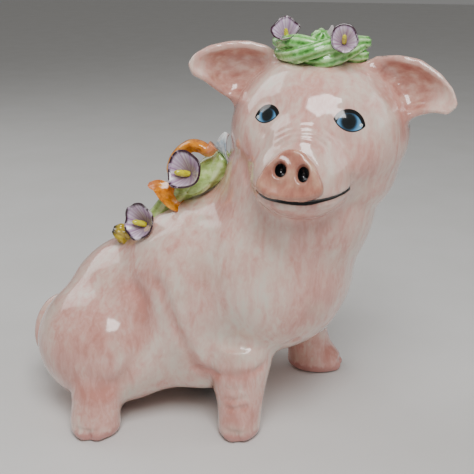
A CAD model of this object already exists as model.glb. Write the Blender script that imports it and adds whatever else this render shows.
# %% [markdown]
# # A hand-painted earthenware piggy bank
# The real bank is slip-cast clay with small hand-rolled flowers pressed onto it, painted under
# a clear glossy glaze. The frame holds the measured pieces; every visible piece is made again
# here with the softness of clay and given its glaze.

# %% Frame and helpers
import bmesh
import bpy
import math
import numpy as np
from mathutils import Euler, Matrix, Vector, noise


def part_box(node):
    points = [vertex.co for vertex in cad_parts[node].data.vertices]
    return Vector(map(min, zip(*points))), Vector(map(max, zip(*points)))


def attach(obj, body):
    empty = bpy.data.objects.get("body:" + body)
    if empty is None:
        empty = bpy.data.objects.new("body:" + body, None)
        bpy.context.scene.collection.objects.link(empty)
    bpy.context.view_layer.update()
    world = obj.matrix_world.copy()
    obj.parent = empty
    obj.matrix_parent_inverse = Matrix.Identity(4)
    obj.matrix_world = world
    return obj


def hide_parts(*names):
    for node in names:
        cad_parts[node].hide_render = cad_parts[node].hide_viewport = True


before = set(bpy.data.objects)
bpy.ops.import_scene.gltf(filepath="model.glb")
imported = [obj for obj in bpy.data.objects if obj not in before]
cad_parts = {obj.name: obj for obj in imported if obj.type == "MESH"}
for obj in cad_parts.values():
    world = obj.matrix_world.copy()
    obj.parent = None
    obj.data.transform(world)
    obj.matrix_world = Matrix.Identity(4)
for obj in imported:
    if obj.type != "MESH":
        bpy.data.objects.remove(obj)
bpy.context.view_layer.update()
MM = 0.001
stopper_low, stopper_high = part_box("stopper")
# The clay is worked in millimetres about the stopper's upright axis, as it would be on a bench.
ORIGIN = Vector(((stopper_low[0] + stopper_high[0]) / 2, (stopper_low[1] + stopper_high[1]) / 2, 0))
TO_ROW = Matrix.Translation(ORIGIN) @ Matrix.Scale(MM, 4)
print("bench origin in the row frame:", [round(c, 4) for c in ORIGIN])


def place(x, y, z):
    """A bench point in millimetres as a row-frame point in metres."""
    return ORIGIN + Vector((x, y, z)) * MM


# %% [markdown]
# ## Clay tools
# Potters pad clay out in balls, roll it into ropes and smooth the joins with a wet finger.
# Balls are UV spheres, ropes and legs are lofted rings, and the wet finger is a swell, a fine
# voxel remesh and a shrink, which leaves a fillet in every hollow corner. Subdivision surfaces
# could do it too, but they need a hand-drawn cage for every join.

# %% Clay tools
BALL_SIDES = 44


def add_ball(bm, middle, radii, turn=(0, 0, 0)):
    spin = Euler([math.radians(a) for a in turn]).to_matrix().to_4x4()
    matrix = Matrix.Translation(middle) @ spin @ Matrix.Diagonal((*radii, 1))
    bmesh.ops.create_uvsphere(bm, u_segments=BALL_SIDES, v_segments=BALL_SIDES // 2, radius=1, matrix=matrix)


def ring_matrix(middle, along, up, wide, tall):
    """A frame whose X is across, Y is the up side and Z runs along the rope."""
    z = Vector(along).normalized()
    x = Vector(up).cross(z).normalized()
    y = z.cross(x)
    turn = Matrix((x, y, z)).transposed().to_4x4()
    return Matrix.Translation(middle) @ turn @ Matrix.Diagonal((wide, tall, 1, 1))


def bridge(bm, rings):
    """A skin from each ring of points to the next, closed at both ends."""
    for a, b in zip(rings, rings[1:]):
        edges = {e for v in a + b for e in v.link_edges}
        ring_a = [e for e in edges if e.verts[0] in a and e.verts[1] in a]
        ring_b = [e for e in edges if e.verts[0] in b and e.verts[1] in b]
        bmesh.ops.bridge_loops(bm, edges=ring_a + ring_b)
    bmesh.ops.contextual_create(bm, geom=rings[0])
    bmesh.ops.contextual_create(bm, geom=rings[-1])


def loft(bm, matrices, sides):
    """A closed solid through round rings, each placed and sized by its matrix."""
    rings = []
    for matrix in matrices:
        points = bmesh.ops.create_circle(bm, segments=sides, radius=1.0)["verts"]
        for v in points:
            v.co = matrix @ v.co
        rings.append(points)
    bridge(bm, rings)


def curve_points(points, count):
    """Evenly spread points on a smooth curve through the given ones."""
    pts = [Vector(p) for p in points]
    pts = [2 * pts[0] - pts[1]] + pts + [2 * pts[-1] - pts[-2]]
    out = []
    for i in range(count):
        s = i / (count - 1) * (len(pts) - 3)
        k = min(int(s), len(pts) - 4)
        t = s - k
        a, b, c, d = pts[k:k + 4]
        out.append(0.5 * ((2 * b) + (c - a) * t + (2 * a - 5 * b + 4 * c - d) * t * t
                          + (3 * b - a - 3 * c + d) * t * t * t))
    return out


def rope(bm, points, count, radius, sides):
    """A rolled rope of clay; radius is a function of 0 to 1 along it."""
    line = curve_points(points, count)
    matrices = []
    for i, p in enumerate(line):
        along = line[min(i + 1, count - 1)] - line[max(i - 1, 0)]
        r = radius(i / (count - 1))
        matrices.append(ring_matrix(p, along, (0, 0, 1), r, r))
    loft(bm, matrices, sides)


def from_object(obj):
    """The object's mesh with its modifiers, as a new bmesh; the object is thrown away."""
    tree = bpy.context.evaluated_depsgraph_get()
    mesh = bpy.data.meshes.new_from_object(obj.evaluated_get(tree), depsgraph=tree)
    bm = bmesh.new()
    bm.from_mesh(mesh)
    old = obj.data
    bpy.data.objects.remove(obj)
    bpy.data.meshes.remove(old)
    bpy.data.meshes.remove(mesh)
    return bm


def on_bench(bm, name="bench"):
    """Puts a bmesh on the bench as a passing object, to run modifiers on it."""
    bmesh.ops.recalc_face_normals(bm, faces=bm.faces)
    mesh = bpy.data.meshes.new(name)
    bm.to_mesh(mesh)
    bm.free()
    obj = bpy.data.objects.new(name, mesh)
    bpy.context.scene.collection.objects.link(obj)
    return obj


def melt(bm, voxel, finger=0.0, smooth=0):
    """Joins overlapping clay into one skin; finger is the fillet radius left in hollows."""
    obj = on_bench(bm)
    add = obj.modifiers.new
    add("join", "REMESH").voxel_size = voxel
    if finger:
        swell = add("swell", "DISPLACE")
        swell.mid_level = 0.0
        swell.strength = finger
        add("join again", "REMESH").voxel_size = voxel
        shrink = add("shrink", "DISPLACE")
        shrink.mid_level = 0.0
        shrink.strength = -finger
    if smooth:
        soft = add("wet finger", "SMOOTH")
        soft.factor = 0.5
        soft.iterations = smooth
    for m in obj.modifiers:
        if m.type == "REMESH":
            m.mode = "VOXEL"
    return from_object(obj)


def join(target, other):
    """Adds one bmesh to another."""
    mesh = bpy.data.meshes.new("passing")
    other.to_mesh(mesh)
    other.free()
    target.from_mesh(mesh)
    bpy.data.meshes.remove(mesh)
    return target


def finished(name, bm):
    """A finished piece: bench millimetres become row-frame metres, unturned at the origin."""
    bm.transform(TO_ROW)
    bmesh.ops.recalc_face_normals(bm, faces=bm.faces)
    mesh = bpy.data.meshes.new(name)
    bm.to_mesh(mesh)
    bm.free()
    mesh.polygons.foreach_set("use_smooth", [True] * len(mesh.polygons))
    obj = bpy.data.objects.new(name, mesh)
    bpy.context.scene.collection.objects.link(obj)
    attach(obj, "bank")
    print("made", name, len(mesh.polygons), "faces")
    return obj


# %% [markdown]
# ## The body and the head
# The bank was cast hollow in a mould, with the head turned to the pig's right. The padded
# torso is smoothed first with a large finger, so that its balls melt into one back, and then
# the head, legs and ears are joined with a smaller one, which keeps the folds where they meet.

# %% Torso, head and legs
VOXEL = 1.35
HEAD_AT = (-0.9, -64.9, 173.0)
MUZZLE_AT = (-39.0, -63.1, 158.0)

TORSO = [
    ((0, 42, 54), (56, 48, 45), 0),
    ((-33, 56, 42), (38, 45, 38), 0),
    ((33, 56, 42), (38, 45, 38), 0),
    ((0, 6, 58), (55, 58, 47), 0),
    ((0, 1, 78), (56, 60, 54), -40),
    ((-1, -39, 93), (57, 50, 54), 0),
    ((-1, -55, 135), (48, 45, 58), 4),
]


def make_torso():
    bm = bmesh.new()
    for middle, radii, lean in TORSO:
        add_ball(bm, middle, radii, (lean, 0, 0))
    return melt(bm, 2.6, finger=14.0, smooth=8)


def make_head():
    bm = bmesh.new()
    add_ball(bm, HEAD_AT, (48, 50, 43))
    add_ball(bm, (1, -62.4, 157), (46, 48.5, 38))
    add_ball(bm, MUZZLE_AT, (30, 27, 23))
    add_ball(bm, (-30, -64, 168), (30, 24, 22), (0, 24, 0))
    return melt(bm, 2.0, finger=9.0, smooth=6)


def add_leg(bm, rings):
    """Rings are (x, y, z, half width along X, half width along Y)."""
    matrices = [Matrix.Translation((x, y, z)) @ Matrix.Diagonal((a, b, 1, 1))
                for x, y, z, a, b in rings]
    loft(bm, matrices, 40)


def front_right_leg():
    return [(-46, -31, 0, 11.0, 10.0), (-46, -31, 1.0, 13.2, 11.6), (-46.2, -31, 3.5, 14.6, 12.6),
            (-46, -31, 9, 14.4, 12.6), (-44.6, -31, 20, 13.6, 12.8), (-41.5, -30.5, 30, 15.2, 14.4),
            (-37, -29.5, 42, 19, 18), (-32, -28, 56, 22, 21)]


def front_left_leg():
    return [(45, -60, 0, 11.0, 15.5), (45, -60, 1.0, 13.0, 17.6), (45, -60, 3.5, 14.0, 18.8),
            (45, -59.5, 9, 14.0, 18.0), (44, -56, 19, 13.4, 14.6), (41.5, -53, 30, 15, 15),
            (37, -50, 42, 19, 18), (32, -46, 56, 22, 21)]


def rear_leg(side):
    return [(side * 66, 52, 0, 11.5, 12.0), (side * 66, 52, 1.0, 13.6, 13.8),
            (side * 66.2, 52, 3.5, 15.0, 14.8), (side * 65.6, 52, 10, 14.6, 14.6),
            (side * 62, 52, 19, 14.6, 15.0), (side * 56, 52, 30, 17, 18), (side * 46, 52, 44, 20, 22)]


torso = make_torso()
head = make_head()
print("torso faces", len(torso.faces), "head faces", len(head.faces))

# %% [markdown]
# ## The ears
# Each ear is a slab of clay cupped over a thumb: wide at the crown, drooping to a blunt tip,
# hollow side to the front. It is lofted from crescent sections along a bent line, which gives
# the rolled rim its thickness, and is then melted into the head.

# %% Ears
EAR_WALL = 4.6


def crescent(k, sides, wide, deep):
    """A point of a cupped section: the back arc, then the shallower front arc."""
    t = k / sides * 2 * math.pi
    if t <= math.pi:
        return Vector((wide * math.cos(t), deep * math.sin(t), 0))
    t = 2 * math.pi - t
    thin = EAR_WALL if wide > 8 else EAR_WALL * 0.7
    return Vector(((wide - thin * 0.7) * math.cos(t), -2.0 + max(deep - thin, 0.2) * math.sin(t), 0))


def add_ear(bm, sections, facing):
    """Sections are (x, y, z, half width, depth); facing is where the hollow looks."""
    sides = 40
    middles = [Vector(s[:3]) for s in sections]
    rings = []
    for i, (x, y, z, wide, deep) in enumerate(sections):
        along = (middles[min(i + 1, len(middles) - 1)] - middles[max(i - 1, 0)]).normalized()
        back = -(Vector(facing) - along * Vector(facing).dot(along)).normalized()
        across = along.cross(back).normalized()
        matrix = Matrix((across, back, along)).transposed().to_4x4()
        matrix = Matrix.Translation((x, y, z)) @ matrix
        made = bmesh.ops.create_circle(bm, segments=sides, radius=1.0)["verts"]
        for k, v in enumerate(made):
            v.co = matrix @ crescent(k, sides, wide, deep)
        rings.append(made)
    bridge(bm, rings)


RIGHT_EAR = [(-4, -38, 200, 16, 9), (-5, -30, 202.5, 18, 11), (-7, -21, 205, 17.5, 12.5),
             (-9, -12, 207.5, 14.5, 11.5), (-12, -4, 209, 10.5, 9), (-15, 1.5, 208.5, 7, 6.5),
             (-17, 5, 207, 3.6, 3.6)]
LEFT_EAR = [(-4, -90, 196, 16, 9), (-5, -98, 198, 18.5, 11), (-7, -107, 199.5, 18, 12.5),
            (-9, -116, 200, 15.5, 12), (-12, -125, 198.5, 11.5, 10), (-14, -131.5, 195.5, 8, 7.5),
            (-15.5, -136.5, 191, 4, 4)]


def make_skin():
    bm = join(torso, head)
    add_leg(bm, front_right_leg())
    add_leg(bm, front_left_leg())
    add_leg(bm, rear_leg(-1))
    add_leg(bm, rear_leg(1))
    add_ear(bm, RIGHT_EAR, (-1, 0.25, 0.05))
    add_ear(bm, LEFT_EAR, (-1, -0.25, 0.05))
    return melt(bm, VOXEL, finger=3.6, smooth=4)


skin_clay = make_skin()
print("skin faces", len(skin_clay.faces))

# %% [markdown]
# ## Modelling strokes
# The face and the folds were drawn into the soft clay with a wooden tool and a fingertip. Each
# stroke is a short line of points on the clay, and moves the clay near it along its own normal
# by a soft, bell-shaped amount. A displacement texture could not follow lines placed by hand.

# %% Strokes
class Clay:
    """The points of a bmesh as arrays, so that many strokes are quick."""

    def __init__(self, bm):
        self.bm = bm
        bm.normal_update()
        self.co = np.array([v.co[:] for v in bm.verts])
        self.no = np.array([v.normal[:] for v in bm.verts])

    def distance(self, line):
        """Each point's distance to a line of points."""
        best = np.full(len(self.co), 1e9)
        pts = [np.array(p, float) for p in line]
        if len(pts) == 1:
            return np.linalg.norm(self.co - pts[0], axis=1)
        for a, b in zip(pts, pts[1:]):
            way = b - a
            t = np.clip(((self.co - a) @ way) / (way @ way), 0, 1)
            best = np.minimum(best, np.linalg.norm(self.co - a - t[:, None] * way, axis=1))
        return best

    def stroke(self, line, radius, height, way=None):
        """Raises the clay near a line, or presses it in where height is below zero."""
        soft = np.exp(-(self.distance(line) / radius) ** 2) * height
        push = self.no if way is None else np.array(way)
        self.co = self.co + push * soft[:, None]

    def back(self):
        for v, c in zip(self.bm.verts, self.co):
            v.co = c
        return self.bm


def smooth_line(points, count=24):
    return [tuple(p) for p in curve_points(points, count)]


MOUTH = smooth_line([(-41, -33.5, 154.6), (-48, -37.8, 153.6), (-56.6, -43.5, 152.4), (-62, -50, 151.6),
                     (-66.5, -58, 151.4), (-67.2, -66, 151.2), (-64.5, -74, 151.4), (-59, -81, 152.0),
                     (-50.5, -87.2, 153.0), (-42.5, -90.6, 154.6)])
SHOULDER_FOLD = smooth_line([(-44.7, 22.2, 102), (-50.7, 16, 94), (-54.4, 10.2, 84), (-55.1, 6.2, 72.4),
                             (-54.5, 1.3, 62.1), (-53.3, -3.5, 51.9), (-49.5, -6.9, 41.2)])
SECOND_FOLD = smooth_line([(-52.2, 11.3, 93.3), (-54.4, 7.8, 86.2), (-55.4, 4.7, 77.7),
                           (-54.7, 3.5, 66.3)], 12)
OVERHANG = smooth_line([(-49.5, -6.9, 41.2), (-52.2, -19.2, 40.6), (-54, -30, 42.6), (-50, -42, 44.5),
                        (-44, -52, 50), (-38, -62, 60)])
HAUNCH_FOLD = smooth_line([(-45, 33.7, 86.6), (-50.4, 26.3, 80.4), (-53.4, 24.4, 70.6), (-58.2, 25.6, 55.6),
                           (-62.9, 29.2, 42.7), (-66.6, 37.6, 32.6), (-71, 46, 29.8)])
WRINKLES = [[(-50.4, -51.4, 181.9), (-51.5, -58.3, 185.6), (-50.9, -66.2, 186.9), (-49.1, -74, 185.4),
             (-47.8, -79.4, 181.9)],
            [(-52.4, -51.4, 179.3), (-54, -58.8, 183.3), (-53.5, -66.2, 184.7), (-51.5, -73.5, 183.4),
             (-50, -78.9, 179.3)],
            [(-55.1, -52.6, 176.8), (-55.6, -58.7, 180.9), (-55.4, -66.2, 182.3), (-54.1, -72.5, 180.9),
             (-52.8, -77.4, 177.3)],
            [(-57.2, -55.2, 177), (-57.6, -62, 179.6), (-57.5, -69, 179.4), (-56.6, -74, 177)]]
SNOUT_AT = Vector((-65.2, -61.6, 164.6))
SNOUT_FACE = Vector((-0.925, 0.03, 0.375)).normalized()
NOSTRILS = [((-66.6, -56.6, 167.2), (2.9, 3.5)), ((-66.6, -68.2, 165.8), (2.9, 4.0))]
EYES = [((-39.2, -43.8, 190.2), 6.0), ((-40.2, -86.5, 188.2), 7.6)]


def mirrored(line):
    return [(-x, y, z) for x, y, z in line]


def draw_face(clay):
    """Eye sockets, brow wrinkles, lips, mouth line and the dips behind the nostrils."""
    for middle, wide in EYES:
        clay.stroke([middle], wide * 1.7, -1.5)
        clay.stroke([middle], wide * 0.8, 1.5)
        x, y, z = middle
        clay.stroke([(x + 4, y - 5, z + 9), (x + 2.6, y, z + 10), (x + 4, y + 5, z + 9)], 3.6, 0.9)
        clay.stroke([(x - 3, y - 6, z - 9), (x - 3.6, y, z - 10.5), (x - 3, y + 6, z - 9)], 1.8, -0.5)
    for line in WRINKLES:
        clay.stroke(smooth_line(line, 14), 1.1, -0.75)
    clay.stroke([(x - 0.5, y, z - 5.0) for x, y, z in MOUTH[4:20]], 3.2, 1.1)
    clay.stroke([(x, y, z + 2.6) for x, y, z in MOUTH[2:22]], 1.9, 0.7)
    clay.stroke(MOUTH, 1.35, -1.7)
    clay.stroke([(-45, -90, 160.7), (-41.1, -92, 156.6), (-39.6, -91.6, 152)], 1.4, -0.9)
    clay.stroke([(-42, -33.4, 159), (-39, -31.6, 155.4), (-40.6, -32.6, 151)], 1.4, -0.9)
    for middle, _ in NOSTRILS:
        clay.stroke([middle], 6.5, -3.8, way=SNOUT_FACE)
    clay.stroke([(-38, -98, 166)], 11, 1.4)
    clay.stroke([(-38, -30, 166)], 11, 1.2)


def draw_folds(clay):
    """Shoulder, haunch and chest folds on both sides, and the creases over the front feet."""
    for side in (lambda line: line, mirrored):
        clay.stroke(side(SHOULDER_FOLD)[4:], 3.6, -1.1)
        clay.stroke([(x, y - 6, z) for x, y, z in side(SHOULDER_FOLD)[2:]], 6, 1.2)
        clay.stroke(side(SECOND_FOLD), 2.2, -0.5)
        clay.stroke(side(HAUNCH_FOLD), 5.0, -2.2)
        clay.stroke(side(OVERHANG), 2.2, -1.6)
        clay.stroke([(x * 1.03, y, z + 6) for x, y, z in side(OVERHANG)[2:18]], 6.0, 0.8)
    clay.stroke([(-12, 60, 95), (-22, 74, 82)], 20, 4.2)
    for x in (-34, 34):
        clay.stroke([(x, -20, 30), (x, 42, 26)], 15, 4.5)
    for z, depth in ((22, 1.6), (27.5, 1.4), (34, 1.0)):
        clay.stroke([(-57.4, -26, z - 0.8), (-58, -32, z), (-56.4, -38, z + 1.4)], 1.4, -depth)
    clay.stroke([(45, -76, 20), (39, -74, 21)], 1.6, -0.9)


def draw_toes(clay):
    """A cleft, two toes and the step above them at the front of each foot."""
    for x, y, out in ((-60.5, -34, (-1, 0)), (-81, 50, (-1, 0)), (81, 50, (1, 0)), (45, -79, (0, -1))):
        side = (out[1], out[0])
        notch = [(x + out[0] * 0.4, y + out[1] * 0.4, z) for z in (-1, 3, 6.5)]
        clay.stroke(notch, 1.8, -3.2)
        for s in (-1, 1):
            toe = (x - out[0] * 1.5 + s * side[0] * 5.2, y - out[1] * 1.5 + s * side[1] * 5.2, 3.2)
            clay.stroke([toe], 4.2, 1.0)
        step = [(x + s * side[0] * 7 - out[0] * 1.0 * abs(s), y + s * side[1] * 7 - out[1] * abs(s), 7.4)
                for s in (-1, 0, 1)]
        clay.stroke(step, 1.6, -1.4)


def hand_made(clay, size, height):
    """The slow unevenness that fingers leave."""
    wave = np.array([noise.noise(Vector(c) / size) for c in clay.co])
    clay.co = clay.co + clay.no * (wave * height)[:, None]


clay = Clay(skin_clay)
hand_made(clay, 26.0, 0.7)
draw_face(clay)
draw_folds(clay)
draw_toes(clay)
clay.co[:, 2] = np.maximum(clay.co[:, 2], 0.0)
skin_clay = clay.back()

# %% [markdown]
# ## Hollow, coin slot and stopper hole
# Slip sets against the mould as an even wall, and what is left is poured out, so the inside is
# a softer copy of the outside. The slot and the hole were cut with a fettling knife. The inner
# wall is the same padding made smaller, taken away with a boolean, and so are the two cutters.

# %% Hollow
WALL = 5.0
SLOT_AT, SLOT_WIDE, SLOT_LONG = (9.0, 66.0), 5.5, 36.0
SEAT_UP, SEAT_THICK, SEAT_DIA, HOLE_DIA = 11.0, 9.0, 46.0, 32.0


def inside_clay():
    bm = bmesh.new()
    for middle, radii, lean in TORSO:
        add_ball(bm, middle, [r - WALL - 0.8 for r in radii], (lean, 0, 0))
    add_ball(bm, HEAD_AT, (48 - WALL, 50 - WALL, 43 - WALL))
    add_ball(bm, (1, -62.4, 157), (46 - WALL, 48.5 - WALL, 38 - WALL))
    return melt(bm, 4.0, smooth=6)


def disc(bm, low, high, width, sides=64):
    matrix = Matrix.Translation((0, 0, (low + high) / 2))
    bmesh.ops.create_cone(bm, cap_ends=True, segments=sides, radius1=width / 2, radius2=width / 2,
                          depth=high - low, matrix=matrix)


def slot_cutter():
    bm = bmesh.new()
    size = Matrix.Translation((*SLOT_AT, 110)) @ Matrix.Diagonal((SLOT_WIDE, SLOT_LONG, 90, 1))
    bmesh.ops.create_cube(bm, size=1.0, matrix=size)
    upright = [e for e in bm.edges if abs(e.verts[0].co.z - e.verts[1].co.z) > 50]
    bmesh.ops.bevel(bm, geom=upright, offset=2.0, segments=6, affect="EDGES", profile=0.5)
    return bm


def carve(bm, steps):
    """Boolean steps with passing objects: (operation, bmesh)."""
    obj = on_bench(bm)
    tools = []
    for operation, tool in steps:
        cutter = on_bench(tool, "cutter")
        tools.append(cutter)
        m = obj.modifiers.new("carve", "BOOLEAN")
        m.operation, m.object, m.solver = operation, cutter, "MANIFOLD"
    done = from_object(obj)
    for cutter in tools:
        mesh = cutter.data
        bpy.data.objects.remove(cutter)
        bpy.data.meshes.remove(mesh)
    return done


seat, hole = bmesh.new(), bmesh.new()
disc(seat, SEAT_UP, SEAT_UP + SEAT_THICK, SEAT_DIA)
bmesh.ops.bevel(seat, geom=[e for e in seat.edges if abs(e.verts[0].co.z - e.verts[1].co.z) < 0.1],
                offset=0.9, segments=3, affect="EDGES", profile=0.5)
disc(hole, SEAT_UP - 6, SEAT_UP + SEAT_THICK + 6, HOLE_DIA)
skin_clay = carve(skin_clay, [("DIFFERENCE", inside_clay()), ("UNION", seat),
                              ("DIFFERENCE", hole), ("DIFFERENCE", slot_cutter())])
print("hollow skin faces", len(skin_clay.faces))

# %% [markdown]
# ## Snout
# The snout is a pad of clay pressed onto the muzzle: narrow at the top, wide at the bottom, a
# little dished, with two nostrils poked in with the end of a brush. It is lofted from rounded
# trapezoids, melted fine, and the nostrils are pressed in.

# %% Snout
SNOUT_ACROSS = Vector((0, 0, 1)).cross(SNOUT_FACE).normalized()
SNOUT_UP = SNOUT_FACE.cross(SNOUT_ACROSS)
HALF_WIDE, HALF_TALL = 15.9, 12.2


def snout_ring(bm, out, grow):
    """A rounded trapezoid this far out of the muzzle, grown or shrunk by a share."""
    points = bmesh.ops.create_circle(bm, segments=64, radius=1.0)["verts"]
    for v in points:
        c, s = v.co.x, v.co.y
        tall = math.copysign(abs(s) ** 0.78, s)
        wide = math.copysign(abs(c) ** 0.85, c) * (1 - 0.40 * max(-1, min(1, tall + 0.25)))
        wide = wide * (1.0 if tall > -0.5 else 1 - 0.35 * (tall + 0.5) ** 2)
        flat = SNOUT_ACROSS * wide * HALF_WIDE * grow + SNOUT_UP * tall * HALF_TALL * grow
        v.co = SNOUT_AT + flat + SNOUT_FACE * out
    return points


def make_snout():
    bm = bmesh.new()
    steps = [(-12, 0.9), (-4, 1.05), (-0.5, 1.06), (1.2, 1.03), (2.3, 0.97), (2.7, 0.89), (2.3, 0.72),
             (1.9, 0.5), (1.8, 0.2)]
    rings = [snout_ring(bm, out, grow) for out, grow in steps]
    bridge(bm, rings)
    return melt(bm, 0.6, smooth=5)


def nostril_rings(co, middle, size, grow=1.0):
    """0 at a nostril's middle and 1 at its rim; also how far each point is out along the snout."""
    off = co - np.array(middle)
    across = (off @ np.array(SNOUT_ACROSS)) / (size[0] * grow)
    up = (off @ np.array(SNOUT_UP)) / (size[1] * grow)
    return np.hypot(across, up), off @ np.array(SNOUT_FACE)


def nostril_shape(clay, middle, size, grow=1.0):
    """The same, with everything behind the pad left out."""
    flat, out = nostril_rings(clay.co, middle, size, grow)
    return np.where(out > -8, flat, 9.0)


clay = Clay(make_snout())
for middle, size in NOSTRILS:
    rim = nostril_shape(clay, middle, size, 1.45)
    clay.co = clay.co + clay.no * (0.9 * np.exp(-((rim - 1.0) / 0.35) ** 2))[:, None]
for middle, size in NOSTRILS:
    rim = nostril_shape(clay, middle, size)
    pit = np.clip(1.25 - rim, 0, 1) ** 0.7
    clay.co = clay.co - np.array(SNOUT_FACE) * (4.0 * pit)[:, None]
hand_made(clay, 7.0, 0.5)
snout = finished("snout_pad", clay.back())
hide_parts("snout")

# %% [markdown]
# ## Tail
# The tail is one rolled rope of clay, thinner towards its tip, luted on low at the back in a loose
# curl. A lofted rope along a smooth line is just that.

# %% Tail
TAIL = [(-4, 80, 54), (-14, 93, 58), (-22, 99.5, 56), (-27.5, 103.5, 48), (-29.5, 105, 38),
        (-28.5, 104, 29), (-24, 101, 23.5), (-18, 98.5, 26), (-17, 96.5, 33)]
tail_clay = bmesh.new()
rope(tail_clay, TAIL, 46, lambda t: 4.3 * (1 - 0.35 * t), 20)
tail = finished("tail_curl", tail_clay)
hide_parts("tail")
skin = finished("pig_skin", skin_clay)
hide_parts("body_shell", "head_shell", "ear_right", "ear_left", "leg_front_right",
            "leg_front_left", "leg_rear_right", "leg_rear_left")

# %% [markdown]
# ## Painted flowers
# The flowers are pinched from thin clay: a cup with a wavy, raised lip round a small rolled
# spadix, on a stalk. A cup is lofted up its outside, over the lip and down its inside, with the
# lip pulled about by a few slow waves, so that no two sides are alike. Each point also keeps
# where it is on the petal, so that the paint can follow the lip and run down the petal.

# %% Flower tools
def facing_matrix(at, direction):
    """A frame whose Z looks along the direction and whose X stays level."""
    z = Vector(direction).normalized()
    x = Vector((0, 0, 1)).cross(z).normalized()
    return Matrix.Translation(at) @ Matrix((x, z.cross(x), z)).transposed().to_4x4()


def store(obj, name, values):
    """One number per point, which a material reads by name."""
    layer = obj.data.attributes.new(name, "FLOAT", "POINT")
    layer.data.foreach_set("value", [float(v) for v in values])


def lofted(rows, name, marks=()):
    """A piece from rows of points; marks are (name, function of row and column) to store."""
    bm = bmesh.new()
    rings = []
    for row in rows:
        points = bmesh.ops.create_circle(bm, segments=len(row), radius=1.0)["verts"]
        for v, co in zip(points, row):
            v.co = co
        rings.append(points)
    bridge(bm, rings)
    place_of = {}
    for i, ring in enumerate(rings):
        for k, v in enumerate(ring):
            place_of[v] = (i / (len(rings) - 1), k / len(ring))
    bm.verts.index_update()
    order = [place_of[v] for v in sorted(place_of, key=lambda v: v.index)]
    obj = finished(name, bm)
    for mark, rule in marks:
        store(obj, mark, [rule(i, k) for i, k in order])
    return obj


CUP_ROWS = [(0.24, -0.9), (0.16, -0.45), (0.17, -0.12), (0.26, 0.10), (0.44, 0.34), (0.64, 0.62),
            (0.84, 0.86), (0.97, 0.98), (1.03, 1.03), (1.0, 1.075), (0.92, 1.05), (0.80, 0.93),
            (0.64, 0.76), (0.47, 0.58), (0.30, 0.45), (0.12, 0.38)]


def flower_cup(name, at, direction, wide, tall, stalk, seed, tip):
    """A calla cup: rows give radius and height as shares of its half width and its height."""
    matrix = facing_matrix(at, direction)
    rows = []
    for r, h in CUP_ROWS:
        row = []
        for k in range(56):
            a = 2 * math.pi * k / 56
            open_ = max(0.0, h - 0.1)
            wave = noise.noise(Vector((math.cos(a) * 1.3, math.sin(a) * 1.3, seed)))
            ripple = noise.noise(Vector((math.cos(a) * 3.0, math.sin(a) * 3.0, seed + 9)))
            grow = 1 + open_ * (0.20 * wave + 0.03 * ripple) + 0.10 * open_ * math.cos(a - 1.6)
            radius = wide / 2 * r * grow
            point = 0.5 + 0.5 * math.cos(a - 1.6)
            high = tall * (h + open_ ** 2 * (tip * point ** 3 + 0.10 * wave + 0.03 * ripple))
            if h < 0:
                high, radius = h * stalk, wide / 2 * r
            row.append(matrix @ Vector((radius * math.cos(a), radius * math.sin(a), high)))
        rows.append(row)
    count = len(CUP_ROWS) - 1
    lip_row = 9 / count
    marks = [("lip", lambda i, k: math.exp(-((i - lip_row) / 0.10) ** 2)),
             ("inside", lambda i, k: 1.0 if i > lip_row else 0.0),
             ("deep", lambda i, k: max(0.0, (i - 0.72) / 0.28)),
             ("around", lambda i, k: k), ("down", lambda i, k: i)]
    return lofted(rows, name, marks=marks)


def spadix(name, at, direction, long, thick, seed):
    """A small rolled finger, knobbly with pollen."""
    matrix = facing_matrix(at, direction)
    shares = [(0.0, 0.5), (0.02, 0.8), (0.15, 0.92), (0.3, 1.0), (0.45, 1.02), (0.6, 1.0),
              (0.74, 0.92), (0.86, 0.76), (0.95, 0.5), (1.0, 0.2)]
    rows = []
    for h, r in shares:
        row = []
        for k in range(24):
            a = 2 * math.pi * k / 24
            bump = 1 + 0.16 * noise.noise(Vector((3 * math.cos(a), 3 * math.sin(a), 6 * h + seed)))
            row.append(matrix @ Vector((thick / 2 * r * bump * math.cos(a),
                                        thick / 2 * r * bump * math.sin(a), long * h)))
        rows.append(row)
    return lofted(rows, name)


def ridged_rope(name, points, count, radius, ridges, height, seed, up=(0, 0, 1), flat=1.0, twist=0.0):
    """A rolled rope with tool marks along it, for stems and leaves."""
    line = curve_points(points, count)
    rows = []
    for i, p in enumerate(line):
        t = i / (count - 1)
        along = line[min(i + 1, count - 1)] - line[max(i - 1, 0)]
        r = radius(t)
        matrix = ring_matrix(p, along, up, r, r * flat)
        row = []
        for k in range(36):
            a = 2 * math.pi * k / 36
            mark = math.sin(ridges * (a + twist * t) + 1.5 * noise.noise(Vector((t * 3, seed, 0))))
            rough = noise.noise(Vector((math.cos(a) * 1.5, math.sin(a) * 1.5, t * 7 + seed)))
            grow = 1 + height * mark + 0.13 * rough
            row.append(matrix @ Vector((math.cos(a) * grow, math.sin(a) * grow, 0)))
        rows.append(row)
    marks = [("down", lambda i, k: i),
             ("ridge", lambda i, k: math.sin(ridges * (2 * math.pi * k + twist * i)
                                             + 1.5 * noise.noise(Vector((i * 3, seed, 0)))))]
    return lofted(rows, name, marks=marks)


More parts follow.
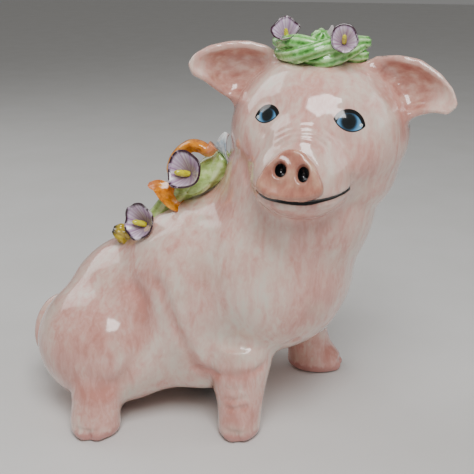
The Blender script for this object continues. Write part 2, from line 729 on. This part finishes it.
def leaf(name, spine, half_width, thick, bend, seed, up):
    """A pinched leaf or petal along a spine; bend curls its sides up, in millimetres."""
    count = 30
    line = curve_points(spine, count)
    rows = []
    for i, p in enumerate(line):
        t = i / (count - 1)
        along = line[min(i + 1, count - 1)] - line[max(i - 1, 0)]
        matrix = ring_matrix(p, along, up, 1, 1)
        half = half_width(t)
        row = []
        for k in range(40):
            a = 2 * math.pi * k / 40
            across = math.cos(a)
            body = math.sin(a) * thick / 2 * (1 - 0.35 * across ** 2)
            curl = bend * across * across + 0.6 * noise.noise(Vector((across * 2, t * 4, seed)))
            row.append(matrix @ Vector((half * across, body + curl, 0)))
        rows.append(row)
    marks = [("around", lambda i, k: abs(math.cos(2 * math.pi * k))), ("down", lambda i, k: i),
             ("lip", lambda i, k: abs(math.cos(2 * math.pi * k)) ** 6),
             ("inside", lambda i, k: 1.0 if k < 0.5 else 0.0)]
    return lofted(rows, name, marks=marks)


# %% [markdown]
# ## The wreath on the crown
# Three rolled strands are twisted together and laid over the crown between the ears, sagging
# over the brow. Each strand follows the same saddle-shaped line with its own turn of the twist.

# %% Wreath
def wreath_middle(t):
    """The wreath's middle line, from the right ear to the left ear."""
    y = -41.0 - 47.0 * t
    sag = math.sin(math.pi * t)
    return Vector((-2.0 - 17.5 * sag, y, 219.6 - 1.0 * sag))


STRAND_REACH = 4.0


def strand_line(turn):
    """One strand's winding round the wreath's middle line."""
    out = []
    for i in range(15):
        t = i / 14
        a = 2 * math.pi * 0.65 * t + turn
        lean = math.pi * (t - 0.5) * 0.6
        off = Vector((-math.cos(lean) * math.cos(a), math.sin(lean) * math.cos(a) * 0.5, math.sin(a)))
        out.append(wreath_middle(t) + off * STRAND_REACH)
    return out


def strand_radius(t):
    """Thick in the middle of the wreath, thinner and a little uneven towards its ends."""
    return 3.9 * (0.78 + 0.30 * math.sin(math.pi * t)) + 0.3 * math.sin(9 * t)


greens = []
for i, letter in enumerate("abc"):
    strand = ridged_rope("wreath_strand_%s_clay" % letter, strand_line(2 * math.pi * i / 3 + 0.4), 60,
                         strand_radius, 7, 0.065, i * 3.1, twist=1.2)
    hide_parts("wreath_strand_" + letter)
    greens.append(strand)


def make_calla(name, node, at, direction, wide, tall, stalk, seed, tip, lean):
    """A cup and its spadix, standing for the frame's two nodes."""
    cup = flower_cup(name + "_cup_clay", at, direction, wide, tall, stalk, seed, tip)
    foot = Vector(at) + Vector(direction).normalized() * tall * 0.34
    finger = spadix(name + "_spadix_clay", foot, Vector(direction) + Vector(lean), wide * 0.42,
                    wide * 0.17, seed)
    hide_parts(node.replace("*", "cup"))
    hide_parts(node.replace("*", "spadix"))
    return cup, finger


CALLAS = [
    ("crown_right", "wreath_*_right", (-8, -47, 222.5), (-0.66, -0.02, 0.75), 14.5, 8.5, 9, 2.3, 0.1,
     (0, 0, 0.3)),
    ("crown_left", "wreath_*_left", (-17.5, -79, 222.5), (-0.88, -0.12, 0.46), 14.5, 7.0, 9, 5.1, 0.1,
     (0, 0, 0.6)),
    ("upper", "back_*_upper", (-19, 4, 147.5), (-0.84, 0.24, 0.40), 22.5, 10, 16, 7.7, 0.2,
     (0, 0.9, -0.1)),
    ("lower", "back_*_lower", (-20.5, 31, 115), (-0.84, 0.30, 0.42), 21.0, 10, 18, 11.9, 0.45,
     (0, 0.9, 0.1)),
]
mauves, yellows = [], []
for spec in CALLAS:
    cup, finger = make_calla(*spec)
    mauves.append(cup)
    yellows.append(finger)

BUD = [(-7, -66, 219), (-10, -66.2, 222.5), (-13.5, -66.6, 226), (-15.5, -67.4, 229)]
bud = ridged_rope("leafy_bud", BUD, 24,
                  lambda t: 6.8 * math.sin(math.pi * (0.30 + 0.66 * t)) ** 0.8, 7, 0.12, 4.2, up=(0, 1, 0))
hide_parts("wreath_bud")
spike = ridged_rope("bud_spike", [(-12, -71, 224), (-13, -71.5, 228), (-14, -72, 232)], 16,
                    lambda t: 3.0 * (1 - t) ** 0.8 + 0.25, 4, 0.25, 1.7, up=(0, 1, 0))
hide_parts("wreath_tip")

# %% [markdown]
# ## The garland down the back
# A pale green vine is pressed along the spine. On it sit two calla cups, an arched orange petal,
# a curled orange leaf, green leaves, a blue and white petal and a yellow bud.

# %% Garland
VINE = [(-11, -13, 157), (-12, -8, 149.5), (-12, 0, 141.5), (-13, 9, 138.5), (-14, 18, 131),
        (-15, 27, 122), (-17, 36, 113), (-18, 42, 107)]
UPPER_LEAF = [(-9, -14, 160), (-12, -9, 156.5), (-15, -3, 150.5), (-17, 2, 143), (-18.5, 7, 136)]
LOWER_LEAF = [(-13, 17, 133), (-16, 20, 129), (-19, 24, 122), (-21.5, 28, 115), (-23, 32, 108)]
ARCH = [(-8, 19, 139), (-12, 18.5, 149), (-15, 14, 158), (-16, 7, 163.6), (-17, 0, 164),
        (-17.5, -5, 162), (-17, -8, 165)]
CURL = [(-15, 12, 126), (-19, 15.5, 130), (-22, 20, 135), (-21, 25, 138.5), (-20, 30, 138.5)]
BLUE = [(-9, -13, 152), (-12, -13.5, 158), (-14, -12.5, 162), (-13.5, -13, 166.5), (-12, -15, 171.5)]
YELLOW_BUD = [(-15, 44, 104), (-17, 47.5, 106.5), (-19, 51.5, 109), (-20, 55, 110.5)]

vine = ridged_rope("vine_rope", VINE, 70, lambda t: 6.2 * (0.95 - 0.4 * abs(t - 0.4)), 5, 0.08, 8.8,
                   twist=4.0)
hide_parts("back_vine")
upper_leaf = leaf("green_leaf_upper", UPPER_LEAF,
                  lambda t: 6.5 * math.sin(math.pi * (0.12 + 0.80 * t)) + 0.5, 2.6, -1.2, 2.0,
                  up=(-0.8, 0, 0.6))
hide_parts("back_leaf_upper")
lower_leaf = leaf("green_leaf_lower", LOWER_LEAF,
                  lambda t: 7.0 * math.sin(math.pi * (0.10 + 0.82 * t)) + 0.5, 2.6, -1.0, 3.0,
                  up=(-0.8, 0.2, 0.55))
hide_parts("back_leaf_lower")
greens += [vine, upper_leaf, lower_leaf]
arch = ridged_rope("orange_arch", ARCH, 60,
                   lambda t: 3.3 + 1.3 * math.sin(math.pi * t) ** 2 + 0.9 * t ** 6, 3, 0.10, 6.4, flat=0.8)
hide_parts("petal_arch")
curl = leaf("orange_curl", CURL, lambda t: 6.4 * math.sin(math.pi * (0.22 + 0.74 * t)) + 0.5, 3.0, 3.0, 7.0,
            up=(-0.55, -0.6, 0.6))
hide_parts("petal_curl")
blue = leaf("blue_petal_clay", BLUE, lambda t: 6.2 * math.sin(math.pi * (0.2 + 0.76 * t)) + 0.4, 2.4, 1.6,
            5.0, up=(-0.7, 0.7, 0.1))
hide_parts("blue_petal")
yellow_bud = ridged_rope("yellow_bud_clay", YELLOW_BUD, 24,
                         lambda t: 6.0 * math.sin(math.pi * (0.34 + 0.60 * t)) ** 0.7, 6, 0.18, 3.3)
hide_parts("yellow_bud")

# %% [markdown]
# ## The glazes
# The real bank is painted in colours under a clear, glossy glaze. The glaze gives sharp
# highlights over soft, streaky brushwork: thin pink washed over off-white, thicker where it
# pooled in the folds, ears and toes. So each finish is one clear-coated shader whose colour
# comes from noise stretched the way the brush went.
#
# The lids, pupils and mouth are lines a fraction of a millimetre sharp, finer than the points of
# the clay. Each point therefore keeps its distance in millimetres to those lines, and the shader
# draws the line where the distance crosses zero, which stays sharp between the points.

# %% Distances kept on the clay
EYE_CORNERS = [((-36.8, -36.4, 186.6), (-42.4, -50.3, 190.5), 5.3),
               ((-36.7, -94.4, 185.0), (-43.2, -78.9, 189.3), 6.1)]
EYE_WAYS = [(-0.79, 0.41, 0.45), (-0.83, -0.39, 0.41)]
FAR = -9.0


def bench_points(obj):
    """A finished piece's points and normals, in bench millimetres."""
    count = len(obj.data.vertices)
    co = np.empty(count * 3)
    no = np.empty(count * 3)
    obj.data.vertices.foreach_get("co", co)
    obj.data.vertices.foreach_get("normal", no)
    return (co.reshape(-1, 3) - np.array(ORIGIN)) / MM, no.reshape(-1, 3)


def line_distance(co, line):
    """Each point's distance to a line, and the share along it of the nearest place."""
    best = np.full(len(co), 1e9)
    share = np.zeros(len(co))
    height = np.zeros(len(co))
    pts = [np.array(p, float) for p in line]
    for i, (a, b) in enumerate(zip(pts, pts[1:])):
        way = b - a
        t = np.clip(((co - a) @ way) / (way @ way), 0, 1)
        off = co - a - t[:, None] * way
        d = np.linalg.norm(off, axis=1)
        nearer = d < best
        best = np.where(nearer, d, best)
        share = np.where(nearer, (i + t) / (len(pts) - 1), share)
        height = np.where(nearer, off[:, 2], height)
    return best, share, height


def arc_depth(u, v, half, tall):
    """How deep a point lies inside the arc through both corners that is tall at its middle."""
    drop = (half ** 2 - tall ** 2) / (2 * tall)
    return np.hypot(half, drop) - np.hypot(u, v + drop)


def eye_marks(co):
    """Depth under the upper lid and over the lower one, and distances to pupil and glint."""
    marks = {name: np.full(len(co), FAR) for name in ("lid_top", "lid_low")}
    marks.update({name: np.full(len(co), -FAR) for name in ("pupil", "glint")})
    for (outer, inner, tall), way in zip(EYE_CORNERS, EYE_WAYS):
        outer, inner = np.array(outer), np.array(inner)
        middle = (outer + inner) / 2
        half = np.linalg.norm(outer - inner) / 2
        across = (outer - inner) / (2 * half)
        up = np.cross(np.array(way), across)
        up = up / np.linalg.norm(up)
        up = up if up[2] > 0 else -up
        off = co - middle
        u, v = off @ across, off @ up
        near = np.linalg.norm(off, axis=1) < half * 1.7
        values = {"lid_top": arc_depth(u, v, half, tall * 1.12),
                  "lid_low": arc_depth(u, -v, half, tall * 0.80),
                  "pupil": np.hypot(u + half * 0.08, (v - tall * 0.04) * 0.92) / tall,
                  "glint": np.hypot(u - half * 0.72, v + tall * 0.02)}
        for name, value in values.items():
            marks[name] = np.where(near, value, marks[name])
    return marks


def mouth_marks(co):
    """Height over the mouth line, and how thick the brush line is there."""
    near, share, height = line_distance(co, MOUTH)
    thick = np.interp(share, [0.0, 0.03, 0.07, 0.10, 0.17, 0.22, 0.30, 0.62, 0.72, 0.86, 0.95, 0.99, 1.0],
                      [FAR, 1.1, 1.1, -0.6, -0.5, 0.6, 1.2, 1.4, 0.75, 0.6, 1.1, 1.1, FAR])
    return {"mouth": np.where(near < 9, height, 9.0), "mouth_thick": np.where(near < 9, thick, FAR)}


def ear_mark(co, no):
    """1 in the dish of an ear, which takes the darkest pink."""
    inside = np.zeros(len(co))
    for sections in (RIGHT_EAR, LEFT_EAR):
        line = [section[:3] for section in sections]
        near, share, _ = line_distance(co, line)
        wide = np.interp(share, np.linspace(0, 1, len(sections)), [s[3] for s in sections])
        depth = np.clip((1.02 * wide - near) / 5.0, 0, 1)
        ends = np.clip((share - 0.03) / 0.15, 0, 1) * np.clip((0.80 - share) / 0.2, 0, 1)
        faces = np.clip((-no[:, 0] - 0.15) / 0.35, 0, 1)
        inside = np.maximum(inside, depth * ends * faces)
    return inside


def pooled(co):
    """1 along the folds, where the wash pools."""
    out = np.zeros(len(co))
    for side in (lambda line: line, mirrored):
        for line, width in ((SHOULDER_FOLD[4:], 3.0), (HAUNCH_FOLD, 6.0), (OVERHANG, 4.5)):
            out = np.maximum(out, np.exp(-(line_distance(co, side(line))[0] / width) ** 2))
    return out


def washed(co):
    """Where the pink went on thickest: cheeks, chin, haunches and feet."""
    out = np.zeros(len(co))
    thick = [((-40, -30, 158), 14), ((-40, -98, 158), 16), ((-52, -66, 142), 15), ((-70, 52, 46), 26),
             ((70, 52, 46), 26), ((-58, -30, 20), 15), ((44, -72, 15), 15), ((-10, -16, 178), 20),
             ((-44, -64, 206), 11), ((-5, -110, 185), 18), ((0, 92, 60), 22), ((-30, -70, 90), 18)]
    for middle, wide in thick:
        out = np.maximum(out, np.exp(-(np.linalg.norm(co - np.array(middle), axis=1) / wide) ** 2))
    return out


def nostril_mark(co):
    """0 in the middle of a nostril and 1 at its rim; the clay behind the pad is inside it too."""
    rims = np.full(len(co), 9.0)
    for middle, size in NOSTRILS:
        flat, out = nostril_rings(co, middle, size)
        rims = np.minimum(rims, np.where(np.abs(out) < 14, flat, 9.0))
    return rims


points, normals = bench_points(skin)
in_ear = ear_mark(points, normals)
for name, values in {**eye_marks(points), **mouth_marks(points), "ear": in_ear,
                     "pooled": pooled(points), "wash": washed(points)}.items():
    store(skin, name, values)
for piece in (skin, snout):
    store(piece, "nostril", nostril_mark(bench_points(piece)[0]))
print("marks kept on", len(points), "points; in an ear:", int((in_ear > 0.5).sum()))

# %% [markdown]
# ## Glaze helpers
# Paint goes on in layers, so a colour is built the same way: noise gives the brushwork, a colour
# ramp turns it into paint, and each further mark is laid over the last by its own factor.

# %% Glaze helpers
GLAZE_IOR = 1.52


def linear(code):
    """An sRGB hex value as a linear colour."""
    parts = [int(code[i:i + 2], 16) / 255 for i in (1, 3, 5)]
    return [c / 12.92 if c <= 0.04045 else ((c + 0.055) / 1.055) ** 2.4 for c in parts] + [1.0]


def add(tree, kind, inputs=None, ramp=None, **settings):
    """A node with its settings; an input is a value, or another node's socket to link."""
    node = tree.nodes.new(kind)
    for key, value in settings.items():
        setattr(node, key, value)
    for key, value in (inputs or {}).items():
        if isinstance(value, bpy.types.NodeSocket):
            tree.links.new(value, node.inputs[key])
        else:
            node.inputs[key].default_value = value
    if ramp:
        stops = node.color_ramp.elements
        for _ in ramp[2:]:
            stops.new(0.5)
        for stop, (at, code) in zip(stops, ramp):
            stop.position = at
            stop.color = linear(code)
    return node


def start(name):
    """A new material's tree and its Object coordinates in metres."""
    material = bpy.data.materials.new(name)
    material.use_nodes = True
    tree = material.node_tree
    tree.nodes.clear()
    return material, tree, add(tree, "ShaderNodeTexCoord").outputs["Object"]


def spots(tree, coords, size_mm, detail=3.0, stretch=(1, 1, 1), seed=0.0, swirl=0.0):
    """Noise with marks about size_mm across; stretch below 1 draws them out along an axis."""
    moved = add(tree, "ShaderNodeMapping", {"Vector": coords, "Scale": stretch,
                                            "Location": (seed, seed * 0.7, seed * 0.3)})
    return add(tree, "ShaderNodeTexNoise", {"Vector": moved.outputs[0], "Scale": 1000 / size_mm,
                                            "Detail": detail, "Roughness": 0.55,
                                            "Distortion": swirl}).outputs[0]


def layered(tree, colour, layers):
    """Paint over paint: each layer is a factor socket and a colour."""
    for factor, code in layers:
        over = code if isinstance(code, bpy.types.NodeSocket) else linear(code)
        colour = add(tree, "ShaderNodeMix", {0: factor, 6: colour, 7: over}, data_type="RGBA").outputs[2]
    return colour


def glazed(material, tree, coords, colour, roughness=0.13, bump_mm=0.12, bump_size=5.0):
    """Clear glaze over paint: brush marks ripple it very slightly, and a coat carries the gloss."""
    ripple = spots(tree, coords, bump_size, 3.0, (1, 1, 0.6), 3.0)
    bump = add(tree, "ShaderNodeBump", {"Strength": 0.5, "Distance": bump_mm * MM, "Height": ripple})
    shader = add(tree, "ShaderNodeBsdfPrincipled",
                 {"Base Color": colour, "Roughness": roughness, "IOR": GLAZE_IOR, "Coat Weight": 0.7,
                  "Coat Roughness": 0.05, "Coat IOR": GLAZE_IOR, "Normal": bump.outputs[0]})
    add(tree, "ShaderNodeOutputMaterial", {"Surface": shader.outputs[0]})
    return material


# %% [markdown]
# ## The pig's own glaze
# The pink is mottled: it is thick in places and the off-white body shows through in others, with
# upright brush marks about eight millimetres wide. A trace of green-grey shows in the white.

# %% Pig glaze
# Thin to thick wash over the off-white body, and the darker paint in the ears.
PINKS = [(0.34, "#e0dccb"), (0.54, "#e8cdbf"), (0.76, "#e0ab9e"), (0.98, "#cf8d80")]
EAR_PINKS = [(0.3, "#b3766a"), (0.5, "#c89284"), (0.7, "#dab3a3")]
SNOUT_PINKS = [(0.30, "#b06f5f"), (0.45, "#c2846f"), (0.60, "#d09d84"), (0.75, "#dbb898")]
# From the middle of the pupil out to the edge of the iris.
EYE_BLUES = [(0.0, "#0c1214"), (0.33, "#121b20"), (0.40, "#2c4a60"), (0.47, "#4c84b0"),
             (0.62, "#78b6e0"), (0.95, "#a8d2ea")]


def pig_glaze(name, face):
    """The body's glaze; the tail takes the same one without the painted face."""
    material, tree, coords = start(name)
    kept = {key: add(tree, "ShaderNodeAttribute", attribute_name=key).outputs["Fac"]
            for key in ("wash", "pooled", "ear")}
    patches = spots(tree, coords, 42, 4.0, (1, 1, 0.8), 1.0, 1.4)
    brush = spots(tree, coords, 9, 4.0, (1, 1, 0.30), 5.0, 1.2)
    fine = spots(tree, coords, 3.2, 4.0, (1, 1, 0.45), 8.0, 1.0)
    total = add(tree, "ShaderNodeMath", {0: patches, 1: 0.80, 2: -0.27},
                operation="MULTIPLY_ADD").outputs[0]
    for value, share in ((brush, 0.62), (fine, 0.42), (kept["wash"], 0.20), (kept["pooled"], 0.26)):
        total = add(tree, "ShaderNodeMath", {0: value, 1: share, 2: total},
                    operation="MULTIPLY_ADD").outputs[0]
    base = add(tree, "ShaderNodeValToRGB", {0: total}, ramp=PINKS).outputs[0]
    clouds = spots(tree, coords, 30, 2.0, (1, 1, 1), 12.0)
    green = add(tree, "ShaderNodeMapRange", {0: clouds, 1: 0.52, 2: 0.75, 4: 0.35}).outputs[0]
    in_ear = spots(tree, coords, 4, 4.0, (1, 0.5, 1), 20.0)
    ear_paint = add(tree, "ShaderNodeValToRGB", {0: in_ear}, ramp=EAR_PINKS).outputs[0]
    low = add(tree, "ShaderNodeSeparateXYZ", {0: coords}).outputs[2]
    ragged = add(tree, "ShaderNodeMath", {0: fine, 1: -5 * MM, 2: low},
                 operation="MULTIPLY_ADD").outputs[0]
    toes = add(tree, "ShaderNodeMapRange", {0: ragged, 1: 4.2 * MM, 2: 2.0 * MM}).outputs[0]
    foot = add(tree, "ShaderNodeMapRange", {0: low, 1: 0.7 * MM, 2: 0.25 * MM}).outputs[0]
    painted = [(green, "#d3d8c6"), (kept["ear"], ear_paint), (toes, "#c88b82"), (foot, "#cdb9a3")]
    if face:
        painted += painted_face(tree)
    return glazed(material, tree, coords, layered(tree, base, painted))


def painted_face(tree):
    """The layers of the eyes, nostrils and mouth."""
    kept = {key: add(tree, "ShaderNodeAttribute", attribute_name=key).outputs["Fac"]
            for key in ("lid_top", "lid_low", "pupil", "glint", "mouth", "mouth_thick", "nostril")}
    lids = add(tree, "ShaderNodeMath", {0: kept["lid_top"], 1: kept["lid_low"]},
               operation="MINIMUM").outputs[0]
    out = add(tree, "ShaderNodeMath", {0: kept["pupil"], 1: 0.6}, operation="MULTIPLY").outputs[0]
    iris = add(tree, "ShaderNodeValToRGB", {0: out}, ramp=EYE_BLUES).outputs[0]
    eye = add(tree, "ShaderNodeMapRange", {0: lids, 1: -0.15, 2: 0.15}).outputs[0]
    upper_line = add(tree, "ShaderNodeMapRange", {0: kept["lid_top"], 1: 2.5, 2: 2.0}).outputs[0]
    lower_line = add(tree, "ShaderNodeMapRange", {0: kept["lid_low"], 1: 0.85, 2: 0.5}).outputs[0]
    ring = add(tree, "ShaderNodeMath", {0: kept["glint"], 1: 0.75}, operation="SUBTRACT").outputs[0]
    ring = add(tree, "ShaderNodeMath", {0: ring}, operation="ABSOLUTE").outputs[0]
    ring = add(tree, "ShaderNodeMapRange", {0: ring, 1: 0.32, 2: 0.12}).outputs[0]
    stare = layered(tree, iris, [(upper_line, "#0a0a0b"), (lower_line, "#1c2428"), (ring, "#dff0f6")])
    line = add(tree, "ShaderNodeMath", {0: kept["mouth"]}, operation="ABSOLUTE").outputs[0]
    line = add(tree, "ShaderNodeMath", {0: kept["mouth_thick"], 1: line},
               operation="SUBTRACT").outputs[0]
    mouth = add(tree, "ShaderNodeMapRange", {0: line, 1: -0.4, 2: -0.1}).outputs[0]
    nostril = add(tree, "ShaderNodeMapRange", {0: kept["nostril"], 1: 1.3, 2: 1.2}).outputs[0]
    return [(nostril, "#08090c"), (mouth, "#0d0a0a"), (eye, stare)]


def snout_glaze():
    """The pad's darker pink, with the nostrils painted black inside."""
    material, tree, coords = start("painted_snout_glaze")
    mottle = spots(tree, coords, 6, 4.0, (1, 1, 0.6), 2.0)
    base = add(tree, "ShaderNodeValToRGB", {0: mottle}, ramp=SNOUT_PINKS).outputs[0]
    rings = add(tree, "ShaderNodeAttribute", attribute_name="nostril").outputs["Fac"]
    dark = add(tree, "ShaderNodeMapRange", {0: rings, 1: 1.02, 2: 0.94}).outputs[0]
    rim = add(tree, "ShaderNodeMapRange", {0: rings, 1: 1.7, 2: 1.0, 4: 0.45}).outputs[0]
    colour = layered(tree, base, [(rim, "#a06a60"), (dark, "#08090c")])
    return glazed(material, tree, coords, colour, roughness=0.2)


skin.data.materials.append(pig_glaze("painted_pink_earthenware", True))
tail.data.materials.append(pig_glaze("painted_pink_tail", False))
snout.data.materials.append(snout_glaze())

# %% [markdown]
# ## Flower glazes
# The flowers are brushed in strong colours that break over the tool marks. Green is dark in the
# grooves and pale on the ridges. A cup is milky mauve, streaked from its throat, with a broken
# purple-brown line round its lip.

# %% Flower paints
def leaf_glaze(name, deep, middle, pale):
    """Paint that is deep in the tool marks and pale on their ridges."""
    material, tree, coords = start(name)
    grain = spots(tree, coords, 3.0, 4.0, (1, 0.6, 1), 4.0)
    broad = spots(tree, coords, 9.0, 2.0, (1, 1, 1), 14.0)
    broad = add(tree, "ShaderNodeMath", {0: broad, 1: 0.4}, operation="MULTIPLY").outputs[0]
    mixed = add(tree, "ShaderNodeMath", {0: grain, 1: 0.65, 2: broad},
                operation="MULTIPLY_ADD").outputs[0]
    ridge = add(tree, "ShaderNodeAttribute", attribute_name="ridge").outputs["Fac"]
    ridged = add(tree, "ShaderNodeMath", {0: ridge, 1: 0.11, 2: mixed},
                 operation="MULTIPLY_ADD").outputs[0]
    colour = add(tree, "ShaderNodeValToRGB", {0: ridged},
                 ramp=[(0.34, deep), (0.50, middle), (0.66, pale)]).outputs[0]
    return glazed(material, tree, coords, colour, bump_mm=0.3, bump_size=2.5)


def cup_glaze():
    """Milky mauve, ribbed from the throat, with a broken dark line round the lip."""
    material, tree, coords = start("painted_calla_glaze")
    kept = {key: add(tree, "ShaderNodeAttribute", attribute_name=key).outputs["Fac"]
            for key in ("around", "lip", "deep", "inside")}
    around = add(tree, "ShaderNodeMath", {0: kept["around"], 1: 26.0}, operation="MULTIPLY").outputs[0]
    ribs = add(tree, "ShaderNodeTexNoise", {"W": around, "Scale": 1.0, "Detail": 3.0},
               noise_dimensions="1D").outputs[0]
    base = add(tree, "ShaderNodeValToRGB", {0: ribs}, ramp=MAUVES).outputs[0]
    patchy = spots(tree, coords, 6.0, 4.0, (1, 1, 1), 6.0)
    broken = add(tree, "ShaderNodeMapRange", {0: patchy, 1: 0.34, 2: 0.44}).outputs[0]
    near_lip = add(tree, "ShaderNodeMapRange", {0: kept["lip"], 1: 0.30, 2: 0.62}).outputs[0]
    edge = add(tree, "ShaderNodeMath", {0: near_lip, 1: broken}, operation="MULTIPLY").outputs[0]
    throat = add(tree, "ShaderNodeMath", {0: kept["deep"], 1: 0.85}, operation="MULTIPLY").outputs[0]
    outside = add(tree, "ShaderNodeMapRange", {0: kept["inside"], 1: 0.9, 2: 0.1, 4: 0.35}).outputs[0]
    colour = layered(tree, base, [(outside, "#b9c795"), (throat, "#5a3a50"), (edge, "#3a1c2c")])
    return glazed(material, tree, coords, colour, bump_mm=0.25, bump_size=2.0)


def tipped_glaze(name, body, tip):
    """A bud or petal whose end is dipped in a second colour."""
    material, tree, coords = start(name)
    mottle = spots(tree, coords, 3.5, 4.0, (1, 1, 1), 7.0)
    base = add(tree, "ShaderNodeValToRGB", {0: mottle}, ramp=body).outputs[0]
    down = add(tree, "ShaderNodeAttribute", attribute_name="down").outputs["Fac"]
    dipped = add(tree, "ShaderNodeMapRange", {0: down, 1: 0.72, 2: 0.95}).outputs[0]
    return glazed(material, tree, coords, layered(tree, base, [(dipped, tip)]), bump_mm=0.2,
                  bump_size=2.5)


MAUVES = [(0.26, "#a67fab"), (0.46, "#cdafd0"), (0.66, "#ebe0ef")]
ORANGES = [(0.32, "#b5600a"), (0.5, "#e88c0c"), (0.7, "#f8b040")]
MILK_BLUES = [(0.35, "#7d9fb6"), (0.5, "#b9cdd8"), (0.65, "#e6edee")]
BUD_YELLOWS = [(0.35, "#8f7d14"), (0.5, "#c4a822"), (0.68, "#dcc84e")]
leaf_green = leaf_glaze("painted_leaf_green_glaze", "#3f7a2c", "#7ac863", "#bff0a6")
vine_green = leaf_glaze("painted_vine_green_glaze", "#8a9f48", "#b4d67a", "#dcf0b0")
spadix_yellow = leaf_glaze("painted_spadix_yellow_glaze", "#a89a00", "#dfd600", "#f4ee3a")
calla_mauve = cup_glaze()
orange = tipped_glaze("painted_orange_glaze", ORANGES, "#e08c5a")
milk_blue = tipped_glaze("painted_milk_blue_glaze", MILK_BLUES, "#eef2f2")
bud_yellow = tipped_glaze("painted_bud_yellow_glaze", BUD_YELLOWS, "#241812")
PAINTS = [(greens[:3], leaf_green, "green_glaze"), (greens[3:], vine_green, "green_glaze"),
          ([bud], leaf_green, "green_glaze"), ([spike], calla_mauve, "mauve_glaze"),
          (mauves, calla_mauve, "mauve_glaze"), (yellows, spadix_yellow, "yellow_glaze"),
          ([yellow_bud], bud_yellow, "yellow_glaze"), ([arch, curl], orange, "orange_glaze"),
          ([blue], milk_blue, "blue_glaze")]
for pieces, glaze, slot_name in PAINTS:
    for piece in pieces:
        piece.data.materials.append(glaze)
print("painted", sum(len(pieces) for pieces, _, _ in PAINTS), "flower pieces")

# %% [markdown]
# ## The rubber stopper
# The stopper is a moulded soft rubber plug. Its measured shape is already right, so it keeps it
# and takes a dull, slightly bloomed rubber that a fine speckle keeps from looking like plastic.

# %% Stopper
def stopper_rubber():
    material, tree, coords = start("moulded_soft_rubber")
    bloom = spots(tree, coords, 1.6, 3.0)
    colour = add(tree, "ShaderNodeValToRGB", {0: bloom},
                 ramp=[(0.35, "#1f1f20"), (0.65, "#343435")]).outputs[0]
    bump = add(tree, "ShaderNodeBump", {"Strength": 0.4, "Distance": 0.05 * MM, "Height": bloom})
    shader = add(tree, "ShaderNodeBsdfPrincipled", {"Base Color": colour, "Roughness": 0.62, "IOR": 1.52,
                                                    "Normal": bump.outputs[0]})
    add(tree, "ShaderNodeOutputMaterial", {"Surface": shader.outputs[0]})
    return material


stopper_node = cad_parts["stopper"]
stopper_node.data.materials.clear()
stopper_node.data.materials.append(stopper_rubber())

# %% [markdown]
# ## Camera and lights
# The bank stands on a pale matt floor, lit as by a large window in front and above, with two
# weaker panels that keep the far side from going dark. Broad lights suit a clear glaze, because
# each one shows as a soft-edged patch.

# %% Camera and lights
AIM = place(-26.3, -24.1, 115)


def from_view(azimuth, elevation, distance):
    """A point seen from AIM at that azimuth (0 looks along +Y) and elevation."""
    a, e = math.radians(azimuth), math.radians(elevation)
    way = Vector((math.sin(a) * math.cos(e), -math.cos(a) * math.cos(e), math.sin(e)))
    return AIM + way * distance


def aimed(obj, place_at, look_at):
    obj.location = place_at
    obj.rotation_euler = (look_at - place_at).to_track_quat("-Z", "Y").to_euler()
    bpy.context.scene.collection.objects.link(obj)


camera = bpy.data.objects.new("camera", bpy.data.cameras.new("camera"))
camera.data.lens = 60.0
camera.data.sensor_width = 36.0
aimed(camera, from_view(-75, 20, 0.45), AIM)
bpy.context.scene.camera = camera


def softbox(name, azimuth, elevation, distance, wide, tall, power):
    light = bpy.data.lights.new(name, "AREA")
    light.shape = "RECTANGLE"
    light.size, light.size_y = wide, tall
    light.energy = power
    aimed(bpy.data.objects.new(name, light), from_view(azimuth, elevation, distance), AIM)


softbox("window", -70, 58, 0.9, 0.45, 0.5, 7.8)
softbox("fill_left", 160, 40, 1.0, 0.6, 0.6, 2.8)
softbox("fill_right", 10, 30, 1.1, 0.6, 0.6, 1.6)

# A pale room all round gives the gloss something soft to mirror and lifts the shadows.
room = bpy.data.worlds.new("pale_room")
room.use_nodes = True
room.node_tree.nodes["Background"].inputs["Color"].default_value = linear("#e9e8e6")
room.node_tree.nodes["Background"].inputs["Strength"].default_value = 0.27
bpy.context.scene.world = room

floor_clay = bmesh.new()
bmesh.ops.create_grid(floor_clay, x_segments=1, y_segments=1, size=4.0)
floor_mesh = bpy.data.meshes.new("floor")
floor_clay.to_mesh(floor_mesh)
floor = bpy.data.objects.new("floor", floor_mesh)
floor_paint, floor_tree, floor_coords = start("pale_matt_floor")
floor_colour = add(floor_tree, "ShaderNodeValToRGB", {0: spots(floor_tree, floor_coords, 60, 2.0)},
                   ramp=[(0.3, "#d9d8d5"), (0.7, "#dddcda")]).outputs[0]
floor_shader = add(floor_tree, "ShaderNodeBsdfPrincipled", {"Base Color": floor_colour, "Roughness": 0.8})
add(floor_tree, "ShaderNodeOutputMaterial", {"Surface": floor_shader.outputs[0]})
floor_mesh.materials.append(floor_paint)
bpy.context.scene.collection.objects.link(floor)
